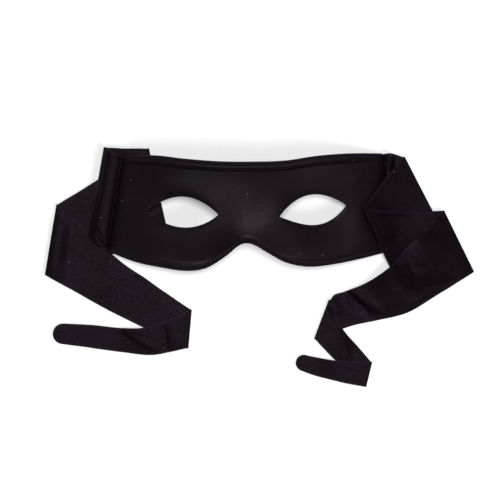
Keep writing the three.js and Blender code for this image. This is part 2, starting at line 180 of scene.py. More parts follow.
# Sections of each tie from the first one past its root.
# x, y: middle of the section from the middle of the root, as shares of the tie's length;
# lean: degrees that its brow edge leans to +X; width: share of the root's width;
# brow, cheek: layers of cloth under its two edges;
# step: layers gained where the tie folds back, up or down; arrive: degrees by which it already turns there;
# on_mask: its brow edge lies on the mask's face and not over the table.
LEFT_TIE = (
    {"name": "out of the seam", "x": -0.0025, "y": 0.003, "lean": 9.5, "width": 1, "brow": 6.2, "cheek": 6},
    {"name": "crest of the roll", "x": -0.0115, "y": 0.007, "lean": 9.5, "width": 0.99, "brow": 7.1,
     "cheek": 6.7},
    {"name": "roll over the seam", "x": -0.0235, "y": 0.0142, "lean": 9.6, "width": 0.984, "brow": 6.8,
     "cheek": 6.5},
    {"name": "fold under mask", "x": -0.035, "y": 0.0235, "lean": 10, "width": 0.977, "brow": 5.3,
     "cheek": 5.2, "step": -3.3, "arrive": 24},
    {"name": "fold under eye", "x": 0.0872, "y": 0.0225, "lean": -12.7, "width": 0.975, "brow": 2,
     "cheek": 2, "step": -2},
    {"name": "far left fold", "x": -0.1254, "y": -0.0712, "lean": 9.3, "width": 0.774, "brow": 0,
     "cheek": 0, "step": 1},
    {"name": "leaving the layer below", "x": 0.0025, "y": -0.163, "lean": 8, "width": 0.565, "brow": 0.9,
     "cheek": 0.6},
    {"name": "down on the table", "x": 0.06, "y": -0.1971, "lean": 6, "width": 0.51, "brow": 0, "cheek": 0},
    {"name": "lower right fold", "x": 0.149, "y": -0.2478, "lean": 5, "width": 0.418, "brow": 0, "cheek": 0,
     "step": 1},
    {"name": "crumpled turn", "x": 0.0718, "y": -0.2712, "lean": -5, "width": 0.304, "brow": 1.5,
     "cheek": 1},
    {"name": "past the turn", "x": 0.0151, "y": -0.2698, "lean": 4.9, "width": 0.26, "brow": 0, "cheek": 0},
    {"name": "last run", "x": -0.0516, "y": -0.262, "lean": 5, "width": 0.245, "brow": 0, "cheek": 0},
    {"name": "round end", "x": -0.102, "y": -0.2575, "lean": 5, "width": 0.2215, "brow": 0, "cheek": 0},
)
RIGHT_TIE = (
    {"name": "out of the seam", "x": 0.004, "y": 0.001, "lean": -3, "width": 1, "brow": 2.4, "cheek": 1.7},
    {"name": "roll past the seam", "x": 0.012, "y": 0.002, "lean": -3, "width": 1, "brow": 2.6,
     "cheek": 1.7},
    {"name": "down on the table", "x": 0.0317, "y": 0.002, "lean": -8, "width": 1, "brow": 0, "cheek": 0},
    {"name": "upper right fold", "x": 0.0845, "y": 0.0022, "lean": -27.3, "width": 1.05, "brow": 0,
     "cheek": 0, "step": 1},
    {"name": "over the side seam", "x": 0.038, "y": -0.0427, "lean": -26.5, "width": 0.99, "brow": 5.2,
     "cheek": 1.2},
    {"name": "fold over mask", "x": -0.0079, "y": -0.0903, "lean": -26.3, "width": 0.896, "brow": 0.2,
     "cheek": 0.8, "step": 1.3, "on_mask": True},
    {"name": "across the layer below", "x": 0.0694, "y": -0.0833, "lean": -27, "width": 0.76, "brow": 5,
     "cheek": 1.5},
    {"name": "past the first fold", "x": 0.1155, "y": -0.0792, "lean": -27.5, "width": 0.735, "brow": 3.1,
     "cheek": 1.5},
    {"name": "far right fold", "x": 0.1465, "y": -0.0767, "lean": -26.3, "width": 0.716, "brow": 1.7,
     "cheek": 0, "step": 1},
    {"name": "over the second layer", "x": 0.1192, "y": -0.099, "lean": -30, "width": 0.662, "brow": 4.4,
     "cheek": 2.6},
    {"name": "over both folds", "x": 0.0837, "y": -0.1272, "lean": -32.8, "width": 0.605, "brow": 6,
     "cheek": 2.1},
    {"name": "leaving the folds", "x": 0.0278, "y": -0.1722, "lean": -22.6, "width": 0.51, "brow": 5.6,
     "cheek": 1.4},
    {"name": "coming down", "x": -0.0262, "y": -0.196, "lean": -15, "width": 0.412, "brow": 1.7,
     "cheek": 0},
    {"name": "down again", "x": -0.0694, "y": -0.2095, "lean": -13, "width": 0.362, "brow": 0, "cheek": 0},
    {"name": "turning down", "x": -0.1118, "y": -0.2246, "lean": 16.5, "width": 0.457, "brow": 0.2,
     "cheek": 0},
    {"name": "lower left fold", "x": -0.1245, "y": -0.2316, "lean": 20.5, "width": 0.4386, "brow": 0,
     "cheek": 0, "step": 1},
    {"name": "over the edge below", "x": -0.0929, "y": -0.2794, "lean": 20, "width": 0.314, "brow": 1.5,
     "cheek": 0.9},
    {"name": "past the edge below", "x": -0.0611, "y": -0.3111, "lean": 16, "width": 0.289, "brow": 0,
     "cheek": 0},
    {"name": "last fold", "x": -0.0315, "y": -0.3405, "lean": 13.5, "width": 0.268, "brow": 0, "cheek": 0,
     "step": 1},
    {"name": "over the last fold", "x": -0.0954, "y": -0.3335, "lean": 7, "width": 0.213, "brow": 1.5,
     "cheek": 1},
    {"name": "last run", "x": -0.135, "y": -0.3252, "lean": 8, "width": 0.19, "brow": 0, "cheek": 0},
    {"name": "round end", "x": -0.1601, "y": -0.318, "lean": 10, "width": 0.17, "brow": 0, "cheek": 0},
)

# Creases, puffs and hollows in the ties, each along a line between two points.
# x, y, to_x, to_y: millimetres from the middle of the mask; width, rise: millimetres, under 0 for a hollow;
# after, until: the sections between which the cloth has it.
CREASES = (
    {"name": "valley beside the turned corner", "tie": "left", "x": -107, "y": -5, "to_x": -93, "to_y": -24,
     "width": 1.3, "rise": -1.0, "after": "out of the seam", "until": "fold under mask"},
    {"name": "turned corner", "tie": "left", "x": -107, "y": -10, "to_x": -95, "to_y": -25,
     "width": 2.2, "rise": 0.7, "after": "out of the seam", "until": "fold under mask"},
    {"name": "upper corner of the roll", "tie": "left", "x": -98, "y": 41, "to_x": -87, "to_y": 38,
     "width": 1.6, "rise": 0.4, "after": "out of the seam", "until": "fold under mask"},
    {"name": "puff at the far left fold", "tie": "left", "x": -126, "y": -3, "to_x": -131, "to_y": -44,
     "width": 6, "rise": 2.0, "after": "fold under eye", "until": "down on the table"},
    {"name": "short crease below it", "tie": "left", "x": -127, "y": 2.6, "to_x": -119.2, "to_y": -4.2,
     "width": 0.9, "rise": 0.4, "after": "far left fold", "until": "down on the table"},
    {"name": "soft dip beside the puff", "tie": "left", "x": -118, "y": -3, "to_x": -122, "to_y": -34,
     "width": 3.5, "rise": -0.5, "after": "far left fold", "until": "down on the table"},
    {"name": "crumpled edge", "tie": "left", "x": -84.5, "y": -77.4, "to_x": -73, "to_y": -79,
     "width": 2.8, "rise": 1.0, "after": "lower right fold", "until": "last run"},
    {"name": "diagonal crease", "tie": "left", "x": -83, "y": -79, "to_x": -62, "to_y": -92,
     "width": 1.9, "rise": 0.75, "after": "lower right fold", "until": "last run"},
    {"name": "upright dip", "tie": "left", "x": -57.5, "y": -74, "to_x": -55, "to_y": -92,
     "width": 2, "rise": -0.6, "after": "lower right fold", "until": "last run"},
    {"name": "swell at the lower right fold", "tie": "left", "x": -47, "y": -70, "to_x": -49, "to_y": -92,
     "width": 7, "rise": 0.9, "after": "down on the table", "until": "past the turn"},
    {"name": "ridge past the seam", "tie": "right", "x": 93, "y": 40, "to_x": 91.6, "to_y": 22,
     "width": 2, "rise": 1.3, "after": "out of the seam", "until": "down on the table"},
    {"name": "standing fold", "tie": "right", "x": 75, "y": 2, "to_x": 88, "to_y": -22,
     "width": 8, "rise": 5.6, "after": "over the side seam", "until": "across the layer below"},
    {"name": "edge under tension", "tie": "right", "x": 77, "y": 0, "to_x": 104, "to_y": 1,
     "width": 2.2, "rise": 1.4, "after": "fold over mask", "until": "past the first fold"},
    {"name": "crumpled corner", "tie": "right", "x": 121.5, "y": -3.5, "to_x": 130, "to_y": 0,
     "width": 2.4, "rise": 0.8, "after": "past the first fold", "until": "over the second layer"},
    {"name": "lifted upper edge", "tie": "right", "x": 123, "y": -6.5, "to_x": 101, "to_y": -28,
     "width": 3.2, "rise": 0.6, "after": "far right fold", "until": "over both folds"},
    {"name": "short crease", "tie": "right", "x": 104.5, "y": -31, "to_x": 110.5, "to_y": -43,
     "width": 1.8, "rise": 0.6, "after": "far right fold", "until": "leaving the folds"},
    {"name": "second short crease", "tie": "right", "x": 109, "y": -27, "to_x": 115.5, "to_y": -35,
     "width": 1.8, "rise": 0.5, "after": "far right fold", "until": "leaving the folds"},
    {"name": "broad swell", "tie": "right", "x": 111, "y": -14, "to_x": 118, "to_y": -49,
     "width": 16, "rise": 4.1, "after": "far right fold", "until": "leaving the folds"},
    {"name": "hollow below the folds", "tie": "right", "x": 100, "y": -42, "to_x": 112, "to_y": -58,
     "width": 5, "rise": -1.2, "after": "over both folds", "until": "coming down"},
    {"name": "wrinkle's hollow", "tie": "right", "x": 62, "y": -53, "to_x": 78, "to_y": -68,
     "width": 3.2, "rise": -1.7, "after": "over both folds", "until": "down again"},
    {"name": "wrinkle's ridge", "tie": "right", "x": 66, "y": -51, "to_x": 86, "to_y": -65,
     "width": 3, "rise": 1.3, "after": "over both folds", "until": "down again"},
    {"name": "rounded upper bend", "tie": "right", "x": 50, "y": -54, "to_x": 60, "to_y": -68,
     "width": 4, "rise": 1.2, "after": "coming down", "until": "over the edge below"},
    {"name": "crease of the narrow run", "tie": "right", "x": 61.5, "y": -76, "to_x": 66, "to_y": -99,
     "width": 1.8, "rise": 0.6, "after": "lower left fold", "until": "last fold"},
)

SWELL = 0.0003  # how far the cloth rises and falls as it lies
SWELL_LENGTH = 0.028
EDGE_WAVER = 0.0003  # how far the cut edges of a tie wander
EDGE_WAVER_LENGTH = 0.016
EDGE_SEEDS = {"left": (-7, -4), "right": (7, 10)}  # one for each edge, so that no two wander alike

MM_PER_METRE = 1000
CREASE_FADE = 0.25  # how soon a crease is whole, as a share of the way between two sections
CREASE_TAPER = 0.3  # share of a crease's length over which each end runs out
CREASE_END = 0.7  # how much of it is gone at the end

PAINTED_HIGHLIGHT = "painted_highlight"  # attribute: 1 where edges and folds get a painted highlight
PAINTED_HIGHLIGHT_REACH = 0.0013
HEM_PAINTED_HIGHLIGHT = 0.5  # how much painted highlight the round of the brow hem gets
PAINTED_HIGHLIGHT_SHARE = 0.6  # of the painted highlight colour where that highlight is strongest

# Gloss and its colour on each cloth
SHELL_GLOSS = 0.15
TIE_GLOSS = 0.115
SHELL_TINT = (1.0, 0.86, 1.0)
TIE_TINT = (1.0, 0.7, 1.0)
SHEEN = 0.07
SHEEN_ROUGHNESS = 0.3
SHEEN_TINT = (1.0, 0.8, 1.0, 1)

# Stitches. Scales of noise are in waves to the metre.
STRAY_SCALE = 420.0
STRAY = 0.7  # wales by which a column strays
STITCH_SLANT = 1.35
STITCH_FOOT = 0.25  # height of the thread between two stitches, as a share of its top
BUMP_STRENGTH = 0.14
BUMP_DEPTH = 0.00016
FUZZ_HEIGHT = 0.6  # of single threads, as a share of a stitch

# Dye, painted shade between the threads, and lint, as shares of the cloth's colour or of the mix
THREAD_SCALE = 750.0
SHADE_SCALE = 45.0
NOISE_LOW, NOISE_HIGH = 0.3, 0.7  # the noise between which shades change
DARK_THREAD = 0.2
LIGHT_THREAD = 2.1
WARM_DYE = (1.1, 1.12, 0.86)
WARM_SHARE = 0.45
# Painted shade: the cloth is darker between the threads, where the knit is low
THREAD_SHADE_TONE = 0.3
THREAD_SHADE_SHARE = 0.35
BROAD_ROUGHNESS = 0.05  # how far the roughness changes slowly over the cloth
FINE_ROUGHNESS = 0.09  # and from thread to thread
LINT_SPACING = 0.007
LINT_RARITY = 0.78
LINT_SIZE = 0.00028
LINT_SHARE = 0.7
LINT_COLOUR = (0.35, 0.33, 0.36, 1)

LAYERS_UNDER_LEFT_SIDE = 3  # the left side rests on the folded layers of its own tie

TABLE_COLOUR = (0.88, 0.88, 0.885, 1)
TABLE_ROUGHNESS = 0.9
VIEW_REACH = 20
VIEW_CENTRE = Vector((-0.0063, 0.0118, 0))
VIEW_WIDTH = 0.3333
SOFTBOXES = (
    {"name": "upper", "place": (0.1, 0.28, 2.65), "size": 0.5, "glossy": True},
    {"name": "lower", "place": (0.5, -0.42, 0.82), "size": 0.4, "glossy": False},
)


class ShellSettings(bpy.types.PropertyGroup):
    """Sizes of the moulded mask."""

    width: FloatProperty(
        name="Width", description="From one side seam to the other", default=0.18, unit="LENGTH"
    )
    height: FloatProperty(name="Height", description="From brow to cheeks", default=0.0774, unit="LENGTH")
    thickness: FloatProperty(
        name="Thickness", description="Of the moulded cloth", default=0.002, unit="LENGTH"
    )
    arch: FloatProperty(name="Arch", description="Middle above the sides", default=0.02, unit="LENGTH")
    shoulder: FloatProperty(
        name="Shoulder", description="Fullness beside the side seams", default=0.001, unit="LENGTH"
    )
    nose_rise: FloatProperty(
        name="Nose rise", description="Nose bridge above the arch", default=0.011, unit="LENGTH"
    )
    flange: FloatProperty(
        name="Flange", description="Width of the sides under the ties", default=0.005, unit="LENGTH"
    )
    brow_hem: FloatProperty(
        name="Brow hem", description="Width of the hem on the brow", default=0.0051, unit="LENGTH"
    )
    brow_hem_rise: FloatProperty(
        name="Brow hem rise", description="Height of that hem", default=0.0016, unit="LENGTH"
    )
    cheek_hem: FloatProperty(
        name="Cheek hem", description="Width of the lower hem", default=0.0036, unit="LENGTH"
    )
    cheek_hem_rise: FloatProperty(
        name="Cheek hem rise", description="Height of its inner ridge", default=0.0006, unit="LENGTH"
    )
    crease: FloatProperty(
        name="Crease", description="Width of the groove beside a hem", default=0.0014, unit="LENGTH"
    )
    crease_depth: FloatProperty(
        name="Crease depth", description="Depth of that groove", default=0.0011, unit="LENGTH"
    )
    eye_width: FloatProperty(
        name="Eye width", description="From corner to corner", default=0.046, unit="LENGTH"
    )
    eye_rise: FloatProperty(
        name="Eye rise", description="Upper lid above the corners", default=0.0108, unit="LENGTH"
    )
    eye_drop: FloatProperty(
        name="Eye drop", description="Lower lid below the corners", default=0.0094, unit="LENGTH"
    )
    eye_spacing: FloatProperty(
        name="Eye spacing", description="Between the eyes' middles", default=0.0865, unit="LENGTH"
    )


class TieSettings(bpy.types.PropertyGroup):
    """Sizes of a tie."""

    length: FloatProperty(name="Length", description="From root to round end", default=0.336, unit="LENGTH")
    thickness: FloatProperty(
        name="Thickness", description="Of the tie's cloth", default=0.001, unit="LENGTH"
    )
    cloth: FloatProperty(
        name="Cloth", description="Thickness of its pressed cloth", default=0.00075, unit="LENGTH"
    )
    layer_gap: FloatProperty(
        name="Layer gap", description="Between two layers", default=0.0004, unit="LENGTH"
    )
    seam_inset: FloatProperty(
        name="Seam inset", description="Root's ends from the corners", default=0.0008, unit="LENGTH"
    )
    seam_depth: FloatProperty(
        name="Seam depth", description="How deep the root is sewn in", default=0.0012, unit="LENGTH"
    )


class ClothSettings(bpy.types.PropertyGroup):
    """Colours and scale of the two cloths."""

    shell_colour: FloatVectorProperty(
        name="Mask colour", description="Black knit of the mask", subtype="COLOR",
        default=(0.0068, 0.0038, 0.0070),
    )
    tie_colour: FloatVectorProperty(
        name="Tie colour", description="Black knit of the ties", subtype="COLOR",
        default=(0.0036, 0.0018, 0.0036),
    )
    # Painted highlight: a lighter violet laid along the cut edges and the round of the brow hem
    painted_highlight_colour: FloatVectorProperty(
        name="Edge colour", description="Where folds are rubbed", subtype="COLOR",
        default=(0.0115, 0.0055, 0.0145),
    )
    shell_roughness: FloatProperty(name="Mask roughness", description="Of the moulded knit", default=0.445)
    tie_roughness: FloatProperty(name="Tie roughness", description="Of the ties' knit", default=0.55)
    wale: FloatProperty(
        name="Wale", description="Width of one column of stitches", default=0.0006, unit="LENGTH"
    )


class StageSettings(bpy.types.PropertyGroup):
    """The floor, lights and camera."""

    floor_size: FloatProperty(name="Floor", description="Side of the floor", default=8.0, unit="LENGTH")
    floor_glow: FloatProperty(name="Floor glow", description="Light that the lit table gives", default=0.3)
    lens: FloatProperty(name="Lens", description="Its focal length", default=200.0, unit="CAMERA")
    upper_power: FloatProperty(name="Upper softbox", description="Its power", default=36.3, unit="POWER")
    lower_power: FloatProperty(name="Lower softbox", description="Its power", default=4.6, unit="POWER")
    fill: FloatProperty(name="Fill", description="Strength of the surrounding white", default=0.12)


def mix(a, b, t):
    """The value or point at share t between a and b."""
    return a + (b - a) * t


def clamp(value, low, high):
    """The value, held between two limits."""
    return max(low, min(high, value))


def edge_height(rows, at, height):
    """A smooth curve through a table's rows, read at any place along its "at" column."""
    last = len(rows) - 2
    i = next((k for k in range(len(rows) - 1) if at <= rows[k + 1]["at"]), last)

    def slope(k):
        before, after = rows[max(k - 1, 0)], rows[min(k + 1, len(rows) - 1)]
        return (after["y"] - before["y"]) / (after["at"] - before["at"])

    span = rows[i + 1]["at"] - rows[i]["at"]
    t = clamp((at - rows[i]["at"]) / span, 0, 1)
    start = (1 + 2 * t) * (1 - t) ** 2 * rows[i]["y"] + t * (1 - t) ** 2 * span * slope(i)
    end = t * t * (3 - 2 * t) * rows[i + 1]["y"] + t * t * (t - 1) * span * slope(i + 1)
    return (start + end) * height


def across_at(share, up, shell):
    """Where a share of the half width lies at a share of the height, between the leaning side seams."""
    half = shell.width / 2
    left = mix(SIDE_SEAMS["left"]["cheek"], SIDE_SEAMS["left"]["brow"], up) * half
    right = mix(SIDE_SEAMS["right"]["cheek"], SIDE_SEAMS["right"]["brow"], up) * half
    return mix(left, right, (share + 1) / 2)


def seam_middles(shell, tie):
    """Heights of the middle of the mask's cloth at its left and right side seams."""
    pitch = tie.thickness + tie.layer_gap
    left = tie.thickness / 2 + LAYERS_UNDER_LEFT_SIDE * pitch + (shell.thickness - tie.thickness) / 2
    return left, shell.thickness / 2


def brow_hem_width(share, shell):
    """Width of the hem on the brow, which is fullest over the eyes and narrows towards both seams."""
    return shell.brow_hem * (1 + BROW_HEM_FULLER * share**2 - BROW_HEM_TAPER * share**6)


def cheek_hem_width(share, shell):
    """Width of the turned-under lower edge, which is narrower on the right."""
    return shell.cheek_hem * (1 - CHEEK_HEM_LEAN * share)


def hem_relief(from_edge, width, rise, shell):
    """A pressed hem, steep at its edge and nearly flat on top, and the crease on its inner side."""
    if from_edge < width:
        across = from_edge / width
        top = rise * ((1 - HEM_SLOPE) * (1 - (1 - across) ** HEM_ROUND) + HEM_SLOPE * across)
        inner = across**HEM_DROP
        return top * (1 - inner) - shell.crease_depth * inner
    past = (from_edge - width) / shell.crease
    return -shell.crease_depth * (1 - past * past) ** 2 if past < 1 else 0


def turned_share(side):
    """How much the lower edge is turned under, at a share of the half width."""
    return mix(TURNED_BELOW_NOSE, 1, min((side / NOSE_SPAN) ** 2, 1))


def mask_height(share, x, y, from_cheek, shell, tie):
    """Height of the middle of the mask's cloth."""
    side = clamp(share, -1, 1)
    left, right = seam_middles(shell, tie)
    rest = mix(left, right, (side + 1) / 2)
    inner = clamp(from_cheek / cheek_hem_width(side, shell), 0, 1)
    relief = -turned_share(side) * TURNED_DROP * (1 - inner**TURNED_ROUND)
    for form in RELIEF:
        away_x = (x / (shell.width / 2) - form["x"]) / form["reach_x"]
        away_y = (y / shell.height - form["y"]) / form["reach_y"]
        relief += form["rise"] * shell.nose_rise * math.exp(-away_x * away_x - away_y * away_y)
    outer = abs(side) ** SHOULDER_POWER
    shoulder = shell.shoulder * mix(LEFT_SHOULDER, 1, (side + 1) / 2) * 4 * outer * (1 - outer)
    return rest + shell.arch * (1 - abs(side) ** ARCH_ROUND) + shoulder + (1 - side**SEAM_FADE) * relief


def pressed_relief(x, y, shell):
    """How far the hems raise the upper side of the mask's cloth, or their creases lower it."""
    side = share_at(x, y, shell)
    brow, _, _, cheek = face_limits(side, shell)
    hem = hem_relief(brow - y, brow_hem_width(side, shell), shell.brow_hem_rise, shell)
    past = (y - cheek - cheek_hem_width(side, shell)) / TURNED_RIDGE_WIDTH
    ridge = shell.cheek_hem_rise * math.exp(-past * past)
    return (1 - side**SEAM_FADE) * (hem + turned_share(side) * ridge)


def mask_top(x, y, shell, tie):
    """Height of the upper side of the mask's cloth under a point of the plan."""
    share = share_at(x, y, shell)
    cheek = edge_height(CHEEK_EDGE, share, shell.height)
    middle = mask_height(share, x, y, y - cheek, shell, tie)
    return middle + shell.thickness / 2 + pressed_relief(x, y, shell)


def eye_point(eye, t, upper, shell):
    """A point of an eye's outline, at share t of its width from the inner corner."""
    skew = math.log(0.5) / math.log(eye["upper" if upper else "lower"])
    lift = math.sin(math.pi * min(t, 1) ** skew) ** eye["fullness"] if 0 < t < 1 else 0
    x = (t - 0.5) * shell.eye_width * eye["width"] * eye["side"]
    y = shell.eye_rise * lift if upper else -shell.eye_drop * lift
    turn = math.radians(eye["slant"]) * eye["side"]
    centre_x = eye["side"] * shell.eye_spacing / 2 + eye["x"] * shell.width / 2
    return Vector((
        x * math.cos(turn) - y * math.sin(turn) + centre_x,
        x * math.sin(turn) + y * math.cos(turn) + eye["y"] * shell.height,
    ))


def face_limits(share, shell):
    """Brow edge, upper and lower limit of the face and cheek edge, at a share of the half width."""
    brow = edge_height(BROW_EDGE, share, shell.height)
    cheek = edge_height(CHEEK_EDGE, share, shell.height)
    top = brow - brow_hem_width(share, shell) - shell.crease
    foot = cheek + cheek_hem_width(share, shell) + shell.crease
    return brow, top, foot, cheek


def plan_point(share, y, shell):
    """The plan position of a point of the mask at a share of the half width and a height on the face."""
    brow, _, _, cheek = face_limits(clamp(share, -1, 1), shell)
    return Vector((across_at(share, (y - cheek) / (brow - cheek), shell), y))


def face_frame(side, shell):
    """Points round one half of the face, from the middle of its side seam over the brow and back below."""
    shares = [side * (1 - k / BROW_CELLS) for k in range(BROW_CELLS + 1)]
    ups = [k / SIDE_CELLS for k in range(SIDE_CELLS + 1)]

    def column(share):
        _, top, foot, _ = face_limits(share, shell)
        return [(share, mix(foot, top, up)) for up in ups]

    half = SIDE_CELLS // 2
    seam, middle = column(side), column(0)
    over = seam[half:] + [(s, face_limits(s, shell)[1]) for s in shares[1:-1]] + middle[half:][::-1]
    below = seam[half::-1] + [(s, face_limits(s, shell)[2]) for s in shares[1:-1]] + middle[: half + 1]
    return over, below


class ShellPoint:
    """A point of the mask's cloth: share of the half width, height on the face and distance from an eye."""

    def __init__(self, share, y, from_eye=1.0, x=None):
        self.share, self.y, self.from_eye, self.x = share, y, from_eye, x

    def place(self, shell, tie):
        """The point in space, in the frame of the mask."""
        side = clamp(self.share, -1, 1)
        brow, _, _, cheek = face_limits(side, shell)
        x = across_at(self.share, (self.y - cheek) / (brow - cheek), shell) if self.x is None else self.x
        z = mask_height(self.share, x, self.y, self.y - cheek, shell, tie)
        z -= EYE_TURN * math.exp(-((self.from_eye / EYE_TURN_WIDTH) ** 2))
        return Vector((x, self.y, z))


def share_at(x, y, shell):
    """The share of the half width at a plan position."""
    near = clamp(2 * x / shell.width, -1, 1)
    brow, _, _, cheek = face_limits(near, shell)
    up = (y - cheek) / (brow - cheek)
    left, right = across_at(-1, up, shell), across_at(1, up, shell)
    return clamp(2 * (x - left) / (right - left) - 1, -1, 1)


def set_grid(bm, columns, rows, place):
    """Adds a grid of cells, each corner where place(column, row) says, and tells which is which."""
    made = bmesh.ops.create_grid(bm, x_segments=columns, y_segments=rows, size=1)
    bm.verts.index_update()
    cells = {}
    for vert in made["verts"]:
        cell = (round((vert.co.x + 1) / 2 * columns), round((vert.co.y + 1) / 2 * rows))
        cells[vert.index] = cell
        vert.co = place(*cell)
    return cells


def add_face_rings(bm, eye, shell, tie):
    """The cloth between one eye opening and the hems."""
    over, below = face_frame(eye["side"], shell)
    for frame_points, upper in ((over, True), (below, False)):
        cells = len(frame_points) - 1
        outer = [plan_point(share, y, shell) for share, y in frame_points]
        inner = []
        for k in range(cells + 1):
            drawn = (1 - math.cos(math.pi * k / cells)) / 2
            inner.append(eye_point(eye, 1 - mix(k / cells, drawn, EYE_SPREAD), upper, shell))

        def place(column, ring):
            point = inner[column].lerp(outer[column], ring / RINGS)
            share = frame_points[column][0] if ring == RINGS else share_at(point.x, point.y, shell)
            corner = 1 - math.sin(math.pi * column / cells)
            away = (point - inner[column]).length + EYE_CORNER * corner * corner
            return ShellPoint(share, point.y, away, point.x).place(shell, tie)

        set_grid(bm, cells, RINGS, place)


def add_hems(bm, shell, tie):
    """The two hems that run from seam to seam, each with its crease."""
    cells = 2 * BROW_CELLS
    hems = (
        (brow_hem_width, lambda share, d: face_limits(share, shell)[0] - d),
        (cheek_hem_width, lambda share, d: face_limits(share, shell)[3] + d),
    )
    for width_at, height_at in hems:

        def place(column, row):
            share = 2 * column / cells - 1
            width = width_at(share, shell)
            insets = [width + shell.crease * s for s in CREASE_SHARES] + [width * s for s in HEM_SHARES]
            return ShellPoint(share, height_at(share, insets[row])).place(shell, tie)

        set_grid(bm, cells, len(CREASE_SHARES) + len(HEM_SHARES) - 1, place)


def add_flanges(bm, shell, tie):
    """The two flat sides that lie under the roots of the ties, cut back at their corners."""
    for side, height in zip((-1, 1), seam_middles(shell, tie)):
        border = [
            edge for edge in bm.edges if edge.is_boundary and all(
                abs(v.co.z - height) < SEAM_NEAR and v.co.x * side > shell.width / 4 for v in edge.verts
            )
        ]
        for _ in range(FLANGE_STEPS):
            grown = bmesh.ops.extrude_edge_only(bm, edges=border)["geom"]
            border = [g for g in grown if isinstance(g, bmesh.types.BMEdge)]
            trim = shell.flange / FLANGE_STEPS
            middle = sum(v.co.y for e in border for v in e.verts) / (2 * len(border))
            reach = max(abs(v.co.y - middle) for e in border for v in e.verts)
            for vert in {v for e in border for v in e.verts}:
                vert.co.x += side * trim
                vert.co.y = middle + (vert.co.y - middle) * (1 - trim / reach)


def add_wall(bm, shell):
    """Gives the mask's cloth two sides, closed along every edge, with its hems pressed into the upper."""
    made = bmesh.ops.extrude_face_region(bm, geom=bm.faces[:], use_keep_orig=True)["geom"]
    upper = {part for part in made if isinstance(part, bmesh.types.BMVert)}
    for vert in bm.verts:
        if vert in upper:
            vert.co.z += shell.thickness / 2 + pressed_relief(vert.co.x, vert.co.y, shell)
        else:
            vert.co.z -= shell.thickness / 2
    weight = bm.edges.layers.float.new("bevel_weight_edge")
    for edge in bm.edges:
        walls = [face for face in edge.link_faces if abs(face.normal.z) < STEEP_WALL]
        edge[weight] = 1 if len(walls) == 1 else 0


def painted_highlight(bm, amount):
    """Stores how much painted highlight each corner gets, where amount(vert) says so."""
    layer = bm.verts.layers.float.new(PAINTED_HIGHLIGHT)
    for vert in bm.verts:
        vert[layer] = amount(vert)


def make_piece(bm, name):
    """Makes an object of a bmesh, its faces outwards."""
    mesh = bpy.data.meshes.new(name)
    bmesh.ops.recalc_face_normals(bm, faces=bm.faces)
    bm.to_mesh(mesh)
    bm.free()
    mesh.shade_smooth()
    piece = bpy.data.objects.new(name, mesh)
    bpy.context.scene.collection.objects.link(piece)
    return piece


def round_edges(piece, limit):
    """Rounds the edges of a piece, chosen by their weight or by their angle."""
    edge = piece.modifiers.new("Rounded edge", "BEVEL")
    edge.width = EDGE_ROUNDING
    edge.segments = RIM_SEGMENTS
    edge.limit_method = limit
    edge.angle_limit = RIM_ANGLE
    edge.use_clamp_overlap = True


def unwrap(bm, spot):
    """A UV map in metres along the cloth, where spot(vert) tells a corner's place on it."""
    layer = bm.loops.layers.uv.new("Cloth")
    for face in bm.faces:
        for loop in face.loops:
            loop[layer].uv = spot(loop.vert)


def shell_painted_highlight(place, shell):
    """How much painted highlight the mask gets: most along its edges, and less on the round of the brow
    hem.
    """
    brow, _, _, cheek = face_limits(clamp(2 * place.x / shell.width, -1, 1), shell)
    from_brow, from_cheek = brow - place.y, place.y - cheek
    edges = math.exp(-((min(from_brow, from_cheek) / PAINTED_HIGHLIGHT_REACH) ** 2))
    hem = math.exp(-(((from_brow - shell.brow_hem / 2) / PAINTED_HIGHLIGHT_REACH) ** 2))
    return max(edges, HEM_PAINTED_HIGHLIGHT * hem)


def centripetal(points, t):
    """A point of a smooth curve through the given points, from 0 at the first to 1 at the last."""
    place = (len(points) - 1) * t
    i = min(int(place), len(points) - 2)
    weight = place - i
    p1, p2 = points[i], points[i + 1]
    p0 = points[i - 1] if i > 0 else 2 * p1 - p2
    p3 = points[i + 2] if i + 2 < len(points) else 2 * p2 - p1
    gaps = [max((b - a).length, SMALLEST_GAP) ** 0.5 for a, b in ((p0, p1), (p1, p2), (p2, p3))]
    start = ((p1 - p0) / gaps[0] - (p2 - p0) / (gaps[0] + gaps[1]) + (p2 - p1) / gaps[1]) * gaps[1]
    end = ((p2 - p1) / gaps[1] - (p3 - p1) / (gaps[1] + gaps[2]) + (p3 - p2) / gaps[2]) * gaps[1]
    w2, w3 = weight * weight, weight**3
    at_start = (2 * w3 - 3 * w2 + 1) * p1 + (w3 - 2 * w2 + weight) * start
    return at_start + (3 * w2 - 2 * w3) * p2 + (w3 - w2) * end


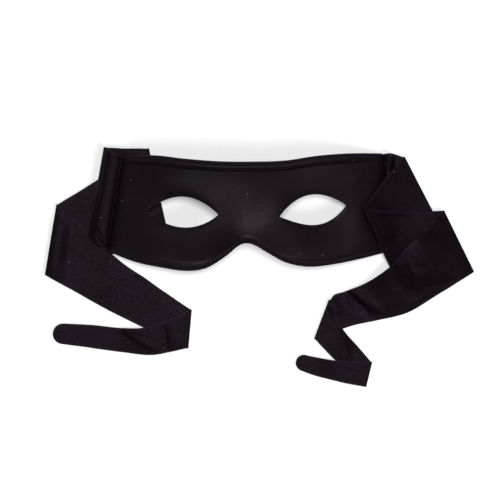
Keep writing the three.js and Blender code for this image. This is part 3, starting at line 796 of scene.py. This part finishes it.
class TieRows:
    """Both edges of a folded tie, row by row from its root to its round end."""

    def __init__(self, side, table, shell, tie):
        self.tie = tie
        self.pitch = tie.thickness + tie.layer_gap
        self.rows = []
        self.stations = []
        sections = self.sections(side, table, shell)
        run, first = [sections[0]], 0
        for number, section in enumerate(sections[1:], 1):
            brow, cheek, rise, arrive = section
            if rise == 0:
                run.append(section)
                continue
            outwards = self.outwards(section, sections[number - 1])
            shift = self.turned(outwards, rise, arrive)
            self.add_run(run + [(brow + shift, cheek + shift)], first)
            for k in range(1, FOLD_STEPS):
                shift = self.turned(outwards, rise, mix(arrive, math.pi, k / FOLD_STEPS))
                self.add_row(brow + shift, cheek + shift, number)
            shift = self.turned(outwards, rise, math.pi)
            run, first = [(brow + shift, cheek + shift)], number
        self.add_run(run, first)
        self.add_tip(sections[-1], sections[-2], len(sections) - 1)

    def add_row(self, brow, cheek, station):
        """One row, and its place among the sections."""
        self.rows.append([brow, cheek])
        self.stations.append(station)

    def sections(self, side, table, shell):
        """Both edge points of every section, with the rise of its fold."""
        seam = SIDE_SEAMS[side]
        share = seam["side"]
        top = seam_middles(shell, self.tie)[(share + 1) // 2] + shell.thickness / 2
        height = top + self.tie.thickness / 2 - self.tie.seam_depth
        brow_y = edge_height(BROW_EDGE, share, shell.height) - self.tie.seam_inset
        cheek_y = edge_height(CHEEK_EDGE, share, shell.height) + self.tie.seam_inset
        brow = Vector((seam["brow"] * shell.width / 2, brow_y, height))
        cheek = Vector((seam["cheek"] * shell.width / 2, cheek_y, height))
        middle = (brow + cheek) / 2
        sections = [(brow, cheek, 0, 0)]
        for row in table:
            lean = math.radians(row["lean"])
            reach = Vector((math.sin(lean), math.cos(lean), 0)) * (row["width"] * (brow - cheek).length / 2)
            centre = Vector((
                middle.x + row["x"] * self.tie.length,
                middle.y + row["y"] * self.tie.length,
                0,
            ))
            edges = [centre + reach, centre - reach]
            for edge, layers in zip(edges, (row["brow"], row["cheek"])):
                edge.z = self.tie.thickness / 2 + layers * self.pitch
            if row.get("on_mask"):
                edges[0].z += mask_top(edges[0].x, edges[0].y, shell, self.tie) + self.tie.layer_gap
            sections.append((*edges, row.get("step", 0) * self.pitch, math.radians(row.get("arrive", 0))))
        return sections

    def outwards(self, section, before):
        """The plan direction square to a section, pointing away from the section before it."""
        along = section[0] - section[1]
        square = Vector((along.y, -along.x, 0)).normalized()
        travel = section[0] + section[1] - before[0] - before[1]
        return square if square.dot(travel) >= 0 else -square

    def add_run(self, sections, first):
        """Rows along one run of cloth between two folds."""
        brow = [s[0] for s in sections]
        cheek = [s[1] for s in sections]
        longest = max(sum((b - a).length for a, b in zip(edge, edge[1:])) for edge in (brow, cheek))
        steps = max(math.ceil(longest / ROW_STEP), 2 * len(sections) - 2)
        for k in range(steps + 1):
            row = [centripetal(brow, k / steps), centripetal(cheek, k / steps)]
            for point in row:
                point.z = max(point.z, self.tie.thickness / 2)
            self.add_row(*row, first + k / steps * (len(sections) - 1))

    def turned(self, outwards, rise, turn):
        """How far the cloth has moved from a section where its fold has turned by an angle."""
        along = abs(rise) / 2 * (math.sin(turn) - 1)
        return outwards * along + Vector((0, 0, rise * (1 - math.cos(turn)) / 2))

    def add_tip(self, last, before, number):
        """Narrowing rows that round off the end."""
        outwards = self.outwards(last, before)
        middle = (last[0] + last[1]) / 2
        half = (last[0] - last[1]) / 2
        for k in range(1, TIP_STEPS + 1):
            turn = TIP_TURN * k / TIP_STEPS
            centre = middle + outwards * (half.length * math.sin(turn))
            self.add_row(centre + half * math.cos(turn), centre - half * math.cos(turn), number)


def swell(point):
    """How far the cloth lies above its plain place, alike for all layers over one spot."""
    return SWELL * (1 + noise.noise(Vector((point.x, point.y, 0)) / SWELL_LENGTH))


def crease_rise(point, station, creases):
    """How far the creases raise or lower a point of a tie."""
    total = 0
    for row in creases:
        within = min(station - row["first"], row["last"] - station) / CREASE_FADE
        if within <= 0:
            continue
        start = Vector((row["x"], row["y"])) / MM_PER_METRE
        end = Vector((row["to_x"], row["to_y"])) / MM_PER_METRE
        along = (point.xy - start).dot(end - start) / (end - start).length_squared
        beyond = abs(along - 0.5) - 0.5 + CREASE_TAPER
        aside = point.xy - start.lerp(end, clamp(along, 0, 1))
        share = math.exp(-(aside.length / (row["width"] / MM_PER_METRE)) ** 2)
        share *= 1 - CREASE_END * clamp(beyond / CREASE_TAPER, 0, 1) ** 2
        total += row["rise"] / MM_PER_METRE * share * min(within, 1)
    return total


def make_tie(name, side, table, shell, tie):
    """One folded tie, as a cloth surface with its thickness."""
    strip = TieRows(side, table, shell, tie)
    rows = strip.rows
    names = ["root"] + [section["name"] for section in table]
    creases = [
        {**row, "first": names.index(row["after"]), "last": names.index(row["until"])}
        for row in CREASES if row["tie"] == side
    ]
    lengths = [0.0]
    for before, after in zip(rows, rows[1:]):
        lengths.append(lengths[-1] + ((after[0] + after[1] - before[0] - before[1]) / 2).length)
    for row, at in zip(rows, lengths):
        span = (row[0] - row[1]).normalized()
        for k, sign, seed in zip((0, 1), (1, -1), EDGE_SEEDS[side]):
            waver = noise.noise(Vector((at / EDGE_WAVER_LENGTH, seed, 0)))
            row[k] = row[k] + span * (sign * EDGE_WAVER * waver)
    widths = [(brow - cheek).length for brow, cheek in rows]

    def place(column, across):
        brow, cheek = rows[column]
        point = brow.lerp(cheek, across / CELLS_ACROSS)
        rise = swell(point) + crease_rise(point, strip.stations[column], creases)
        point.z = max(point.z + rise, tie.thickness / 2)
        return point + FACE_MIDDLE

    # Painted highlight along the tie's cut edges
    def highlighted(vert):
        column, across = cells[vert.index]
        edge = min(across, CELLS_ACROSS - across) / CELLS_ACROSS * widths[column]
        return math.exp(-((edge / PAINTED_HIGHLIGHT_REACH) ** 2))

    def spot(vert):
        column, across = cells[vert.index]
        return (across / CELLS_ACROSS - 0.5) * widths[column], lengths[column]

    bm = bmesh.new()
    cells = set_grid(bm, len(rows) - 1, CELLS_ACROSS, place)
    painted_highlight(bm, highlighted)
    unwrap(bm, spot)
    piece = make_piece(bm, name)
    wall = piece.modifiers.new("Thickness", "SOLIDIFY")
    wall.thickness = tie.cloth
    wall.offset = 0
    round_edges(piece, "ANGLE")
    area = sum(
        (before + after) / 2 * (end - start)
        for before, after, start, end in zip(widths, widths[1:], lengths, lengths[1:])
    )
    return piece


def shader_group(name, inputs, outputs):
    """A shader node group with its sockets, ready for its nodes."""
    group = bpy.data.node_groups.new(name, "ShaderNodeTree")
    for socket, kind, value in inputs:
        made = group.interface.new_socket(socket, in_out="INPUT", socket_type=kind)
        if value is not None:
            made.default_value = value
    for socket in outputs:
        group.interface.new_socket(socket, in_out="OUTPUT", socket_type="NodeSocketFloat")
    return group, group.nodes.new("NodeGroupInput").outputs, group.nodes.new("NodeGroupOutput").inputs


def plug(tree, socket, value):
    """Links a socket to another one, or sets its value."""
    if isinstance(value, bpy.types.NodeSocket):
        tree.links.new(value, socket)
    else:
        socket.default_value = value


def sum_of(tree, operation, *values):
    """The output of a Math node."""
    node = tree.nodes.new("ShaderNodeMath")
    node.operation = operation
    for socket, value in zip(node.inputs, values):
        plug(tree, socket, value)
    return node.outputs[0]


def spread(tree, value, low, high, to_low=0.0, to_high=1.0):
    """The output of a Map Range node, held between its limits."""
    node = tree.nodes.new("ShaderNodeMapRange")
    for socket, given in zip(node.inputs, (value, low, high, to_low, to_high)):
        plug(tree, socket, given)
    return node.outputs[0]


def noise_of(tree, vector, scale, detail=2.0, roughness=0.5):
    """The value of a Noise Texture."""
    node = tree.nodes.new("ShaderNodeTexNoise")
    given = {"Vector": vector, "Scale": scale, "Detail": detail, "Roughness": roughness}
    for socket, value in given.items():
        plug(tree, node.inputs[socket], value)
    return node.outputs[0]


def knit_group():
    """Columns of slanting stitches, read along the cloth. Height: the thread; Painted shade: painted shade
    between the threads.
    """
    group, given, out = shader_group(
        "Fine knit",
        (("Vector", "NodeSocketVector", None), ("Wale", "NodeSocketFloat", 0.0006)),
        ("Height", "Painted shade"),
    )
    parts = group.nodes.new("ShaderNodeSeparateXYZ")
    plug(group, parts.inputs[0], given["Vector"])
    wobble = noise_of(group, given["Vector"], STRAY_SCALE, 1.0)
    column = sum_of(group, "DIVIDE", parts.outputs[0], given["Wale"])
    column = sum_of(group, "ADD", column, sum_of(group, "MULTIPLY", wobble, STRAY))
    course = sum_of(group, "DIVIDE", parts.outputs[1], given["Wale"])
    side = sum_of(group, "ABSOLUTE", sum_of(group, "SUBTRACT", sum_of(group, "FRACT", column), 0.5))
    leg = sum_of(group, "SINE", sum_of(group, "MULTIPLY", side, 2 * math.pi))
    slant = sum_of(group, "ADD", sum_of(group, "MULTIPLY", course, STITCH_SLANT), side)
    loop = sum_of(group, "COSINE", sum_of(group, "MULTIPLY", slant, 2 * math.pi))
    loop = spread(group, loop, -1.0, 1.0, STITCH_FOOT, 1.0)
    height = sum_of(group, "MULTIPLY", leg, loop)
    plug(group, out["Height"], height)
    plug(group, out["Painted shade"], sum_of(group, "SUBTRACT", 1.0, height))
    return group


def grain_group():
    """Unevenness of dyed cloth. Fine: single fuzzy threads; Broad: slow changes of shade."""
    group, given, out = shader_group(
        "Uneven dye",
        (("Vector", "NodeSocketVector", None), ("Thread", "NodeSocketFloat", THREAD_SCALE)),
        ("Fine", "Broad"),
    )
    fine = noise_of(group, given["Vector"], given["Thread"], 3.0, 0.75)
    plug(group, out["Fine"], spread(group, fine, NOISE_LOW, NOISE_HIGH))
    broad = noise_of(group, given["Vector"], SHADE_SCALE, 3.0, 0.6)
    plug(group, out["Broad"], spread(group, broad, NOISE_LOW, NOISE_HIGH))
    return group


def lint_group():
    """Rare pale specks of lint. Mask: 1 on a speck."""
    group, given, out = shader_group(
        "Lint",
        (("Vector", "NodeSocketVector", None), ("Speck", "NodeSocketFloat", LINT_SIZE)),
        ("Mask",),
    )
    cells = group.nodes.new("ShaderNodeTexVoronoi")
    plug(group, cells.inputs["Vector"], given["Vector"])
    cells.inputs["Scale"].default_value = 1 / LINT_SPACING
    pick = group.nodes.new("ShaderNodeSeparateColor")
    plug(group, pick.inputs[0], cells.outputs["Color"])
    away = sum_of(group, "MULTIPLY", cells.outputs["Distance"], LINT_SPACING)
    near = sum_of(group, "LESS_THAN", away, given["Speck"])
    rare = sum_of(group, "GREATER_THAN", pick.outputs[0], LINT_RARITY)
    plug(group, out["Mask"], sum_of(group, "MULTIPLY", near, rare))
    return group


def shade(colour, share):
    """A colour made darker or lighter, with its alpha."""
    return (*(share * c for c in colour), 1)


def cloth_material(name, colour, painted_highlight_colour, wale, matt, gloss, tint):
    """Black knit with uneven dye, painted shade between threads, a painted highlight along edges and a
    little lint.
    """
    material = bpy.data.materials.new(name)
    material.use_nodes = True
    tree = material.node_tree
    shader = tree.nodes["Principled BSDF"]
    place = tree.nodes.new("ShaderNodeTexCoord")
    groups = cloth_groups()

    def use(group, vector):
        node = tree.nodes.new("ShaderNodeGroup")
        node.node_tree = group
        plug(tree, node.inputs["Vector"], vector)
        return node

    def blend(factor, a, b):
        node = tree.nodes.new("ShaderNodeMix")
        node.data_type = "RGBA"
        plug(tree, node.inputs["Factor"], factor)
        plug(tree, node.inputs[6], a)
        plug(tree, node.inputs[7], b)
        return node.outputs[2]

    def part(value, share):
        return sum_of(tree, "MULTIPLY", value, share)

    knit = use(groups["knit"], place.outputs["UV"])
    knit.inputs["Wale"].default_value = wale
    grain = use(groups["grain"], place.outputs["Object"])
    lint = use(groups["lint"], place.outputs["Object"])
    # How much painted highlight each corner gets
    painted_highlight = tree.nodes.new("ShaderNodeAttribute")
    painted_highlight.attribute_name = PAINTED_HIGHLIGHT
    warm = tuple(c * share for c, share in zip(colour, WARM_DYE))
    tone = blend(grain.outputs["Fine"], shade(colour, DARK_THREAD), shade(colour, LIGHT_THREAD))
    tone = blend(part(grain.outputs["Broad"], WARM_SHARE), tone, (*warm, 1))
    # Painted shade between the threads
    tone = blend(part(knit.outputs["Painted shade"], THREAD_SHADE_SHARE), tone, shade(colour, THREAD_SHADE_TONE))
    # Painted highlight: lighter violet along the edges and the round of the brow hem
    tone = blend(part(painted_highlight.outputs["Fac"], PAINTED_HIGHLIGHT_SHARE), tone, (*painted_highlight_colour, 1))
    tone = blend(part(lint.outputs["Mask"], LINT_SHARE), tone, LINT_COLOUR)
    plug(tree, shader.inputs["Base Color"], tone)
    slow = spread(tree, grain.outputs["Broad"], 0.0, 1.0, matt - BROAD_ROUGHNESS, matt + BROAD_ROUGHNESS)
    quick = spread(tree, grain.outputs["Fine"], 0.0, 1.0, FINE_ROUGHNESS, -FINE_ROUGHNESS)
    plug(tree, shader.inputs["Roughness"], sum_of(tree, "ADD", slow, quick))
    bump = tree.nodes.new("ShaderNodeBump")
    bump.inputs["Strength"].default_value = BUMP_STRENGTH
    bump.inputs["Distance"].default_value = BUMP_DEPTH
    fuzz = part(grain.outputs["Fine"], FUZZ_HEIGHT)
    plug(tree, bump.inputs["Height"], sum_of(tree, "ADD", knit.outputs["Height"], fuzz))
    plug(tree, shader.inputs["Normal"], bump.outputs["Normal"])
    shader.inputs["Specular IOR Level"].default_value = gloss
    shader.inputs["Specular Tint"].default_value = (*tint, 1)
    shader.inputs["Sheen Weight"].default_value = SHEEN
    shader.inputs["Sheen Roughness"].default_value = SHEEN_ROUGHNESS
    shader.inputs["Sheen Tint"].default_value = SHEEN_TINT
    return material


def cloth_groups():
    """The node groups that both cloths share, each made once."""
    makers = {
        "knit": ("Fine knit", knit_group),
        "grain": ("Uneven dye", grain_group),
        "lint": ("Lint", lint_group),
    }
    return {key: bpy.data.node_groups.get(name) or make() for key, (name, make) in makers.items()}


class DOMINO_OT_shell(bpy.types.Operator):
    """Adds the moulded mask with its eye openings and hems"""

    bl_idname = "domino.shell"
    bl_label = "Moulded Mask"

    def execute(self, context):
        shell, tie = context.scene.domino_shell, context.scene.domino_tie
        bm = bmesh.new()
        for eye in EYES:
            add_face_rings(bm, eye, shell, tie)
        add_hems(bm, shell, tie)
        bmesh.ops.remove_doubles(bm, verts=bm.verts, dist=JOIN_DISTANCE)
        add_flanges(bm, shell, tie)
        add_wall(bm, shell)
        painted_highlight(bm, lambda vert: shell_painted_highlight(vert.co, shell))
        for vert in bm.verts:
            vert.co += FACE_MIDDLE
        unwrap(bm, lambda vert: vert.co.xy)
        piece = make_piece(bm, "moulded_mask")
        round_edges(piece, "WEIGHT")
        cloth = context.scene.domino_cloth
        knit = cloth_material(
            "Moulded knit", cloth.shell_colour, cloth.painted_highlight_colour, cloth.wale,
            cloth.shell_roughness, SHELL_GLOSS, SHELL_TINT,
        )
        piece.data.materials.append(knit)
        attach(piece, "root")
        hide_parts("mask_shell")
        return {"FINISHED"}


class DOMINO_OT_ties(bpy.types.Operator):
    """Adds the two folded ties"""

    bl_idname = "domino.ties"
    bl_label = "Ties"

    def execute(self, context):
        shell, tie = context.scene.domino_shell, context.scene.domino_tie
        cloth = context.scene.domino_cloth
        knit = cloth_material(
            "Tie knit", cloth.tie_colour, cloth.painted_highlight_colour, cloth.wale,
            cloth.tie_roughness, TIE_GLOSS, TIE_TINT,
        )
        for side, table in (("left", LEFT_TIE), ("right", RIGHT_TIE)):
            piece = make_tie(side + "_cloth_tie", side, table, shell, tie)
            piece.data.materials.append(knit)
            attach(piece, "root")
            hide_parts(side + "_tie")
        return {"FINISHED"}


class DOMINO_OT_stage(bpy.types.Operator):
    """Adds the floor, the light and the camera"""

    bl_idname = "domino.stage"
    bl_label = "Stage"

    def execute(self, context):
        stage = context.scene.domino_stage
        bm = bmesh.new()
        bmesh.ops.create_grid(bm, x_segments=1, y_segments=1, size=stage.floor_size / 2)
        mesh = bpy.data.meshes.new("floor")
        bm.to_mesh(mesh)
        bm.free()
        floor = bpy.data.objects.new("floor", mesh)
        context.scene.collection.objects.link(floor)
        paper = bpy.data.materials.new("Lit table")
        paper.use_nodes = True
        shader = paper.node_tree.nodes["Principled BSDF"]
        shader.inputs["Base Color"].default_value = TABLE_COLOUR
        shader.inputs["Roughness"].default_value = TABLE_ROUGHNESS
        shader.inputs["Emission Color"].default_value = (1, 1, 1, 1)
        shader.inputs["Emission Strength"].default_value = stage.floor_glow
        mesh.materials.append(paper)

        world = bpy.data.worlds.new("White room")
        context.scene.world = world
        world.use_nodes = True
        room = world.node_tree
        behind = room.nodes["Background"]
        behind.inputs["Color"].default_value = (1, 1, 1, 1)
        direct = room.nodes.new("ShaderNodeLightPath").outputs["Is Camera Ray"]
        plug(room, behind.inputs["Strength"], spread(room, direct, 0.0, 1.0, stage.fill, 1.0))

        powers = {"upper": stage.upper_power, "lower": stage.lower_power}
        for row in SOFTBOXES:
            lamp = bpy.data.lights.new(row["name"] + "_softbox", "AREA")
            lamp.energy = powers[row["name"]]
            lamp.size = row["size"]
            box = bpy.data.objects.new(lamp.name, lamp)
            box.location = row["place"]
            box.rotation_euler = (Vector(row["place"]) - VIEW_CENTRE).to_track_quat("Z", "Y").to_euler()
            box.visible_glossy = row["glossy"]
            context.scene.collection.objects.link(box)

        camera = bpy.data.cameras.new("Camera")
        camera.lens = stage.lens
        seen = bpy.data.objects.new("Camera", camera)
        distance = VIEW_WIDTH * stage.lens / camera.sensor_width
        seen.location = VIEW_CENTRE + Vector((0, 0, distance))
        camera.clip_end = VIEW_REACH
        context.scene.collection.objects.link(seen)
        context.scene.camera = seen
        context.scene.view_settings.view_transform = "Standard"
        return {"FINISHED"}


class DOMINO_PT_panel(bpy.types.Panel):
    """Lists the pieces of the mask"""

    bl_idname = "DOMINO_PT_panel"
    bl_label = "Domino Mask"
    bl_space_type = "VIEW_3D"
    bl_region_type = "UI"
    bl_category = "Domino Mask"

    def draw(self, context):
        for operator in PIECES:
            self.layout.operator(operator.bl_idname)
        for group in GROUPS:
            settings = getattr(context.scene, group)
            for name in settings.bl_rna.properties.keys():
                if name not in {"rna_type", "name"}:
                    self.layout.prop(settings, name)


PIECES = (DOMINO_OT_shell, DOMINO_OT_ties, DOMINO_OT_stage)
GROUPS = {
    "domino_shell": ShellSettings,
    "domino_tie": TieSettings,
    "domino_cloth": ClothSettings,
    "domino_stage": StageSettings,
}


def register():
    """Makes the settings, operators and panel known."""
    for cls in (*GROUPS.values(), *PIECES, DOMINO_PT_panel):
        bpy.utils.register_class(cls)
    for name, cls in GROUPS.items():
        setattr(bpy.types.Scene, name, PointerProperty(type=cls))


def unregister():
    """Takes the settings, operators and panel away again."""
    for name in GROUPS:
        delattr(bpy.types.Scene, name)
    for cls in reversed((*GROUPS.values(), *PIECES, DOMINO_PT_panel)):
        bpy.utils.unregister_class(cls)


def main():
    """Builds the mask, the ties and the stage."""
    register()
    bpy.ops.domino.stage()
    bpy.ops.domino.shell()
    bpy.ops.domino.ties()
    bpy.context.view_layer.update()


if __name__ == "__main__":
    main()
